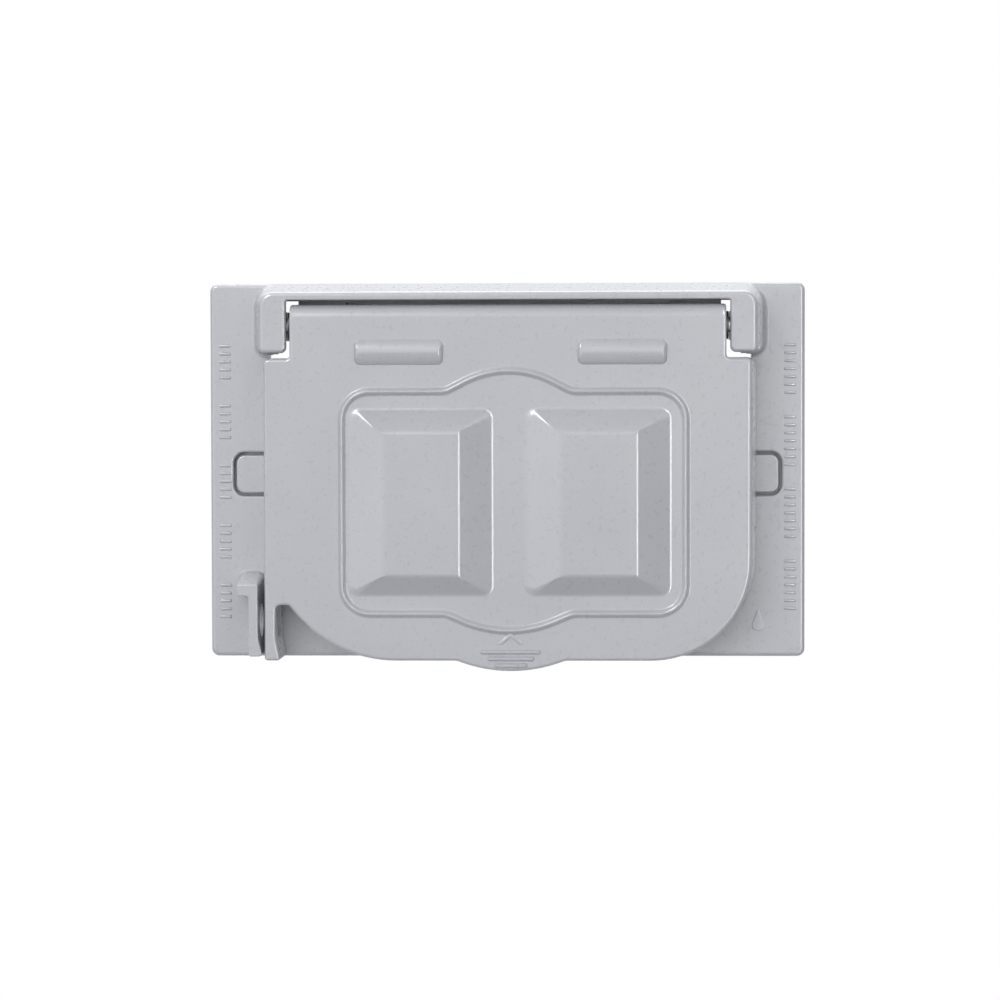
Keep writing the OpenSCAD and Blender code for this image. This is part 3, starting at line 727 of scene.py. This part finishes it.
def slope(runs, rise, foot, crown):
    """Rings of a raised field's slopes, as (grow, height), each a list with one number for each side.

    foot and crown say how far the rounding reaches at either end of a slope.
    """
    sides = list(zip(runs, foot, crown))
    rings = [([f + 0.12 for f in foot], [-0.04] * 4)]
    for t in (0.2, 0.4, 0.6, 0.8, 1.0):
        grow = [f * ((1 - t) ** 2 - t * t) for f in foot]
        rings.append((grow, [rise * f / r * t * t for r, f, c in sides]))
    for t in (0.0, 0.2, 0.4, 0.6, 0.8, 1.0):
        left = (1 - t) ** 2
        grow = [c * left - r - c * t * t for r, f, c in sides]
        rings.append((grow, [rise * (1 - c / r * left) for r, f, c in sides]))
    return rings


FIELD_U = (-16.1, 18.1)
STOP_BAR_U = (-20.4, 22.6)
FIELD_FOOT = (13.7, -23.15, 12.7)     # half width, bottom and top at the foot
FIELD_RUNS = [3.8, 6.3, 4.5, 6.4]     # how far each slope runs: bottom, right, top, left


def field(u):
    """A raised field with four sloping sides."""
    half, low, high = FIELD_FOOT
    corners = rectangle(u - half, u + half, low, high, 1.9)
    foot, crown = [0.4, 0.35, 0.4, 1.3], [0.5, 0.35, 0.5, 1.2]
    steps = slope(FIELD_RUNS, field_rise, foot, crown)
    rings = [contour(corners, steps[0][0], lid_front - buried)]
    rings += [contour(corners, grow, [lid_front + h for h in heights]) for grow, heights in steps]
    return solid("field", rings)


def field_hollow(u):
    """The hollow pressed into the back of a field."""
    half, low, high = FIELD_FOOT
    inset = 1.4
    corners = rectangle(u - half + inset, u + half - inset, low + inset, high - inset, 1.5)
    runs = [r - 0.6 for r in FIELD_RUNS]
    front = lid_front + field_rise - lid_wall
    return solid("hollow", [contour(corners, 0, ceiling - 1), contour(corners, 0, ceiling),
                            contour(corners, [-r for r in runs], front)])


def bead():
    """The bead round the lid's middle, with a bulge at the top and at the bottom."""
    left, right, bottom, top = -32.35, 35.65, -27.65, 17.0
    middle, half = 0.75, 12.4
    turn, root = 6.3, 3.0
    top_r, low_r = half * half / (2 * 3.3), half * half / (2 * 2.75)
    corners = [(left, bottom, turn), (middle - half, bottom, root),
               (middle, bottom - 5.3, low_r - 4.5), (middle + half, bottom, root),
               (right, bottom, turn), (right, top, turn), (middle + half, top, root),
               (middle, top + 6.4, top_r - 4.0), (middle - half, top, root), (left, top, turn)]
    width, rise, steps = 1.85, 0.7, 12
    rings = [contour(corners, 0.1, lid_front - depth) for depth in (buried, skin)]
    for k in range(1, steps):
        t = k / steps
        height = rise * (0.5 - 0.5 * math.cos(2 * math.pi * t))
        rings.append(contour(corners, -width * t, lid_front + height))
    rings += [contour(corners, -width - 0.1, lid_front - depth) for depth in (skin, buried)]
    return solid("bead", rings, ends_meet=True)


def stop_bar(u):
    """A bar on the lid that meets the hood when the lid is fully open."""
    half, chord, rise, v = 8.6, 2.45, 1.1, 23.65
    r = (chord * chord + rise * rise) / (2 * rise)
    corners = rectangle(u - half, u + half, v - chord, v + chord, 1.2)
    rings = [contour(corners, 0.15, lid_front - buried), contour(corners, 0.12, lid_front - skin)]
    for a in quarter(12)[1:]:
        inset = chord * (1 - math.cos(a)) * 0.985
        height = math.sqrt(r * r - (chord - inset) ** 2) - (r - rise)
        end = 1.1 * (1 - math.sqrt(1 - (height / rise) ** 2 * 0.98))
        rings.append(contour(corners, [-inset, -end, -inset, -end], lid_front + height))
    return solid("bar", rings)


def grip_marks():
    """Three ribs on the lift tab, with an arrow over them."""
    ribs = [dash(tab_u, -34.1 - 1.3 * i, 5.8 - 1.3 * i, 0.42, lid_front, 0.42) for i in range(3)]
    foot, crook, tip = -32.6, -31.2, -30.3
    arrow = [(tab_u - 2.7, foot, 0.1), (tab_u - 1.7, foot, 0.1), (tab_u, crook, 0.3),
             (tab_u + 1.7, foot, 0.1), (tab_u + 2.7, foot, 0.1), (tab_u, tip, 0.2)]
    steps = [(0.06, -0.1), (0.03, 0.0), (0.0, 0.18), (-0.12, 0.28)]
    return [*ribs, solid("arrow", [contour(arrow, g, lid_front + h) for g, h in steps])]


def seal_rib():
    """The rib that the lid gasket sits on."""
    corners = cavity()
    middle, half = 1.5, 0.7
    root, back = ceiling + 0.4, lid_seal_high[2]
    outer, inner = -middle + half, -middle - half
    section = [(inner, root), (outer, root), (outer, back), (inner, back)]
    return solid("rib", [contour(corners, grow, w) for grow, w in section], ends_meet=True)


def spring_hook(side):
    """The hook that a spring's leg pulls on."""
    stem = hinge_u + side * 20.3
    edge, tip = stem + side * 1.8, stem + side * 3.8
    low, high, back = 14.0, 16.8, 13.8
    post = rectangle(min(stem, edge), max(stem, edge), low, high, 0.3)
    plate = rectangle(min(stem, tip), max(stem, tip), low, high, 0.3)
    return [prism("post", post, back, ceiling + 0.5), rounded_block("plate", plate, back, back + 1.3, 0.2)]


def spring_leg_notch(side):
    """The notch under the lid's roof that a spring's leg passes through."""
    u = hinge_u + side * 23.9
    corners = rectangle(u - 1, u + 1, lid_top - 4.6, lid_top - 1.6, 0.2)
    return prism("notch", corners, ceiling - 2.6, ceiling)


def spring_room(side):
    """The round room for a spring's coil."""
    low, high = hinge_u + side * (coil_inner - 1.0), hinge_u + side * (coil_outer + 1.4)
    return cylinder_across("room", low, high, coil_v, coil_w, spring_room_r)


def lid_casting():
    """The whole lid as one casting."""
    body = join(lid_shell(), *[hinge_cheek(side) for side in SIDES])
    cut(body, cavity_cut(), hinge_cut())
    hooks = [part for side in SIDES for part in spring_hook(side)]
    join(body, seal_rib(), *hooks)
    join(body, *[field(u) for u in FIELD_U])
    join(body, bead())
    join(body, gathered([stop_bar(u) for u in STOP_BAR_U] + grip_marks()))
    cut(body, *[field_hollow(u) for u in FIELD_U])
    cut(body, *[spring_leg_notch(side) for side in SIDES], *[spring_room(side) for side in SIDES])
    cut(body, cylinder_across("bore", LEFT - 1, RIGHT + 1, axis_v, axis_w, bushing_r),
        cylinder_across("padlock", lid_left - 3, leg_right + 1.5, padlock_v, padlock_w, padlock_r))
    return finished(body, "lid_casting", "lid", COAT, ["lid"])


# ---------------------------------------------------------------- inner plate and seals

def duplex_outline(u):
    """A round opening with flat sides."""
    r, half, steps = 17.2, 14.3, 9
    edge = math.asin(half / r)
    points = []
    for middle in (math.pi / 2, -math.pi / 2):
        for k in range(2 * steps + 1):
            a = middle + edge * (1 - k / steps)
            points.append((u + r * math.cos(a), r * math.sin(a), 0.4))
    return points[::-1]


def duplex_cut(u):
    """The opening for one face of the outlet, with a softened front edge."""
    corners = duplex_outline(u)
    front = inner_high[2]
    rings = [contour(corners, 0, inner_low[2] - 1), *rounded_rim(corners, 0.35, front, 3, way=1)]
    rings += [contour(corners, 0.5, front + w) for w in (skin, 1)]
    return solid("duplex", rings)


def inner_plate():
    """The plate under the lid, with two tabs, two openings and three screw holes."""
    side_gap, tab_gap, edge = 0.3, 0.6, 0.3
    around_tab = [-tab_gap] * 3
    grow = [-side_gap] * 2 + around_tab + [-side_gap] * 3 + around_tab + [-side_gap]
    corners = cross_outline()
    back, front = inner_low[2], inner_high[2]
    rings = [contour(corners, grow, back), *rounded_rim(corners, edge, front, 4, grow=grow)]
    body = solid("inner", rings)
    hole_r, sink_r, sink_foot = 1.95, 3.45, 5.6
    holes = [cylinder_out("hole", side * screw_u, 0, back - 1, front + 1, hole_r) for side in SIDES]
    sinks = [cylinder_out("sink", side * screw_u, 0, sink_foot, front + 0.1, hole_r, sink_r)
             for side in SIDES]
    middle = cylinder_out("hole", 0, 0, back - 1, front + 1, 2.0)
    cut(body, *[duplex_cut(side * outlet_u) for side in SIDES], *holes, *sinks, middle)
    return finished(body, "inner_plate", "frame", COAT, ["device_plate"])


def ring_seal(node, room):
    """A flat sheet seal the size of its CAD node, with a hole room wider than the box opening."""
    edge = 0.15
    low, high = box_of(node)
    outer = rectangle(low[0], high[0], low[1], high[1], 1.5)
    half_u, half_v = opening_u + room, opening_v + room
    hole = rectangle(-half_u, half_u, -half_v, half_v, 2.0)
    section = ((-edge, low[2]), (0, low[2] + edge), (0, high[2] - edge), (-edge, high[2]))
    body = solid("seal", [contour(outer, grow, w) for grow, w in section])
    return cut(body, prism("hole", hole, low[2] - 1, high[2] + 1))


def wall_seal():
    """The foam sheet behind the frame, open round its windows and screws."""
    body = ring_seal("wall_gasket", 0.4)
    back, front = wall_seal_low[2] - 1, wall_seal_high[2] + 1
    room, hole_r = 0.6, 3.2
    for side in SIDES:
        edges = sorted(hinge_u + side * e for e in (window_in - room, window_out + room))
        window = rectangle(*edges, window_bottom - room, window_top + room, 0.6)
        cut(body, prism("window", window, back, front),
            cylinder_out("hole", side * screw_u, 0, back, front, hole_r))
    return finished(body, "wall_seal", "frame", SEAL, ["wall_gasket"])


def insert_seal():
    """The thin foam sheet under the inner plate."""
    body = ring_seal("insert_gasket", 0.3)
    cut(body, *[cylinder_out("hole", side * screw_u, 0, 3, 6, screw_hole_r) for side in SIDES])
    return finished(body, "insert_seal", "frame", SEAL, ["insert_gasket"])


def lid_seal():
    """The soft strip on the lid's rib, with a rounded lip towards the frame."""
    corners = cavity()
    out, width, lip, steps = 0.2, 3.0, 0.8, 8
    back, front = lid_seal_low[2], lid_seal_high[2]
    section = [(-out - width, front), (-out, front), (-out, back + lip)]
    for k in range(1, steps):
        a = math.pi * k / steps
        section.append((-out - width * (0.5 - 0.5 * math.cos(a)), back + lip * (1 - math.sin(a))))
    section.append((-out - width, back + lip))
    rings = [contour(corners, grow, w) for grow, w in section]
    body = solid("seal", rings, ends_meet=True)
    return finished(body, "lid_seal", "lid", SEAL, ["lid_gasket"])


def washers(name, node, places, outer):
    """Fibre washers that keep the screws in the plate."""
    soft = 0.15
    low, high = [corner[2] for corner in box_of(node)]
    section = [(core_r, low), (outer - soft, low), (outer, low + soft),
               (outer, high - soft), (outer - soft, high), (core_r, high)]
    made = [solid(name, [circle(u, 0, r, w, 40) for r, w in section], ends_meet=True) for u in places]
    return finished(join(*made), name, "frame", FIBRE, [node])


# ---------------------------------------------------------------- screws and springs

def threaded(u, w_tip, w_top):
    """A screw's threaded length, its crest running round as a helix."""
    pitch, around, per_turn = 0.794, 28, 9
    count = math.ceil((w_top - w_tip) / pitch * per_turn)
    rings = []
    for k in range(count + 1):
        w = w_tip + (w_top - w_tip) * k / count
        run_out = min(1.0, (w - w_tip) / 0.9, (w_top - w) / 0.5)
        ring = []
        for i in range(around):
            a = 2 * math.pi * i / around
            phase = (w / pitch - i / around) % 1.0
            crest = max(0.0, 1 - abs(phase - 0.5) * 2.6)
            radius = core_r + (thread_r - core_r) * min(1.0, crest * 1.25) * max(run_out, 0.0)
            ring.append((u + radius * math.cos(a), radius * math.sin(a), w))
        rings.append(ring)
    return solid("thread", rings)


def head_slot(u, w):
    """A screwdriver slot whose floor is at w."""
    return prism("slot", rectangle(u - 5, u + 5, -0.4, 0.4, 0.05), w, w + 3)


def box_screw(u):
    """A flat-headed screw with a slotted head and a plain neck."""
    tip, top = screws_low[2], screws_high[2]
    profile = [(0.3, 2.5), (core_r, 2.6), (core_r, 5.35), (thread_r, 5.6),
               (head_r - 0.1, top - 0.15), (head_r, top - 0.08), (head_r - 0.1, top), (0.3, top)]
    shaft = solid("shaft", [circle(u, 0, r, w, 40) for r, w in profile])
    join(shaft, threaded(u, tip, 3.4))
    return cut(shaft, head_slot(u, top - 0.75))


def box_screws():
    """The two screws that hold the cover to its box."""
    body = box_screw(-screw_u)
    join(body, box_screw(screw_u))
    return finished(body, "box_screw_pair", "frame", ZINC, ["box_screws"])


def centre_screw():
    """The outlet's screw, with an oval head over a fibre washer."""
    tip, top = centre_screw_low[2], centre_screw_high[2]
    rim, dome = 0.8, 0.9
    under = top - rim - dome
    profile = [(0.3, 4.3), (core_r, 4.4), (core_r, under), (head_r - 0.15, under),
               (head_r, under + 0.15), (head_r, under + rim)]
    profile += [(head_r * math.cos(a * 0.98), under + rim + dome * math.sin(a)) for a in quarter(8)[1:]]
    body = solid("screw", [circle(0, 0, r, w, 40) for r, w in profile])
    join(body, threaded(0, tip, 5.0))
    cut(body, head_slot(0, top - 0.95))
    return finished(body, "centre_screw", "frame", ZINC, ["device_screw"])


def spring_route(side):
    """Centre line of a torsion spring: frame leg, coil, then the leg to the lid's hook."""
    pitch, turns, reach = 0.95, 8, 3.1

    def coil(angle):
        """A point of the coil."""
        return Vector((hinge_u + side * (coil_inner + pitch * (turns - angle / (2 * math.pi))),
                       coil_v + reach * math.sin(angle), coil_w + reach * math.cos(angle)))

    start, last = math.pi, turns * 2 * math.pi
    steps = 32 * (turns - 1) + 16
    points = [coil(start) + Vector((0, 3.8 - 0.475 * k, -0.9 + 0.1125 * k)) for k in range(8)]
    points += [coil(start + (last - start) * k / steps) for k in range(steps + 1)]
    end = points[-1]
    for k in range(1, 25):
        t = k / 24
        points.append(end + Vector((-side * 1.6 * t * t, -15.2 * t, -1.3 * t + 0.3 * t * t)))
    return points


def spring(side, name, node):
    """A round wire along the spring's route, between frame and lid."""
    points, around = spring_route(side), 12
    rings = []
    normal = Vector((1, 0, 0))
    for i, p in enumerate(points):
        ahead = (points[min(i + 1, len(points) - 1)] - points[max(i - 1, 0)]).normalized()
        normal = (normal - ahead * normal.dot(ahead)).normalized()
        other = ahead.cross(normal)
        ring = []
        for k in range(around):
            a = 2 * math.pi * k / around
            q = p + (normal * math.cos(a) + other * math.sin(a)) * wire_d / 2
            ring.append((q.x, q.y, q.z))
        rings.append(ring)
    body = solid(name, rings)
    still, moving = [at(hinge_u + side * u, coil_v, coil_w) for u in (coil_outer, coil_inner + 0.6)]
    return finished(body, name, None, WIRE, [node], bend=(still, moving))


def small_cad_parts():
    """The CAD's own pin, bushings and retainers, with their materials."""
    looks = (("hinge_pin", ZINC, "zinc_steel"), ("pin_retainers", ZINC, "zinc_steel"),
             ("left_hinge_bushing", NYLON, "black_nylon"), ("right_hinge_bushing", NYLON, "black_nylon"))
    for node, material, slot in looks:
        piece = frame["nodes"][node]
        piece.data.materials.clear()
        piece.data.materials.append(material)


# ---------------------------------------------------------------- studio

def camera():
    """Almost straight at the cover from 0.6 m, from a little right of its middle and above it."""
    data = bpy.data.cameras.new("camera")
    data.sensor_width = 36.0
    data.lens = 110.2
    data.clip_start, data.clip_end = 0.05, 20.0
    made = bpy.data.objects.new("camera", data)
    where, aim = at(20.0, 15.7, 607.0), at(-1.35, -5.2, 7.0)
    made.location = where
    look = (aim - where).to_track_quat("-Z", "Y")
    made.rotation_euler = (look @ Quaternion((0, 0, 1), math.radians(-0.13))).to_euler()
    bpy.context.scene.collection.objects.link(made)
    bpy.context.scene.camera = made


def lamp(name, where, size, watts, shine_only=False):
    """A softbox aimed at the cover. With shine_only it adds highlights and no other light."""
    data = bpy.data.lights.new(name, "AREA")
    data.shape = "RECTANGLE"
    data.size, data.size_y = size
    data.energy = watts
    made = bpy.data.objects.new(name, data)
    made.location = where
    made.rotation_euler = (-Vector(where)).to_track_quat("-Z", "Y").to_euler()
    made.visible_camera = False
    made.visible_diffuse = not shine_only
    bpy.context.scene.collection.objects.link(made)


def studio():
    """White surroundings, brighter overhead, then the lamps and the floor."""
    sky()
    lamp("overhead", (-0.05, 0.25, 0.8), (1.0, 0.5), 9.0)
    lamp("key", (-0.55, -2.0, 0.45), (1.5, 1.5), 19.0)
    lamp("left_glow", (-1.05, -0.88, 0.1), (0.9, 0.9), 7.0, shine_only=True)
    lamp("right_strip", (0.46, -1.1, 0.05), (0.09, 1.3), 26.0, shine_only=True)
    lamp("upper_left", (-0.53, -0.9, 0.76), (0.30, 0.30), 26.0, shine_only=True)
    floor()
    settings = bpy.context.scene.view_settings
    settings.view_transform = "Standard"
    settings.look = "None"


def sky():
    """Light from all round, brighter from above. The camera itself sees plain white."""
    world = bpy.data.worlds.new("studio")
    bpy.context.scene.world = world
    world.use_nodes = True
    tree = world.node_tree
    back = tree.nodes["Background"]
    glow = tree.nodes.new("ShaderNodeBackground")
    coord = tree.nodes.new("ShaderNodeTexCoord")
    split = tree.nodes.new("ShaderNodeSeparateXYZ")
    height = tree.nodes.new("ShaderNodeMapRange")
    path = tree.nodes.new("ShaderNodeLightPath")
    mix = tree.nodes.new("ShaderNodeMixShader")
    height.inputs["From Min"].default_value, height.inputs["From Max"].default_value = -0.16, 0.04
    height.inputs["To Min"].default_value, height.inputs["To Max"].default_value = 0.34, 0.74
    tree.links.new(coord.outputs["Generated"], split.inputs[0])
    tree.links.new(split.outputs["Z"], height.inputs["Value"])
    tree.links.new(height.outputs["Result"], glow.inputs["Strength"])
    tree.links.new(path.outputs["Is Camera Ray"], mix.inputs["Fac"])
    tree.links.new(glow.outputs[0], mix.inputs[1])
    tree.links.new(back.outputs[0], mix.inputs[2])
    tree.links.new(mix.outputs[0], tree.nodes["World Output"].inputs["Surface"])
    back.inputs["Color"].default_value = (1, 1, 1, 1)
    back.inputs["Strength"].default_value = 1.0
    glow.inputs["Color"].default_value = (0.97, 0.98, 1.0, 1)


def floor():
    """A pale round floor, well under the cover. It throws no light back up."""
    disc = solid("floor", [circle(0, 0, 700, 0, 96), circle(0, 0, 700, -4, 96)])
    disc.rotation_euler = (math.radians(-90), 0, 0)
    disc.location = (0, 0, -0.26)
    pale = Nodes("pale_floor")
    tone = pale.ramp(pale.noise(3, 2), 0.3, 0.7, 0.0, 1.0)
    color = pale.mix(tone, (0.90, 0.90, 0.90, 1), (0.93, 0.93, 0.93, 1))
    disc.data.materials.append(pale.join(Base_Color=color, Roughness=0.7))
    disc.visible_diffuse = False


camera()
studio()
frame_casting()
lid_casting()
inner_plate()
wall_seal()
insert_seal()
lid_seal()
washers("screw_washers", "screw_seals", (-screw_u, screw_u), 4.0)
washers("centre_washer", "device_screw_seal", (0,), 3.6)
box_screws()
centre_screw()
spring(-1, "left_spring", "left_torsion_spring")
spring(1, "right_spring", "right_torsion_spring")
small_cad_parts()
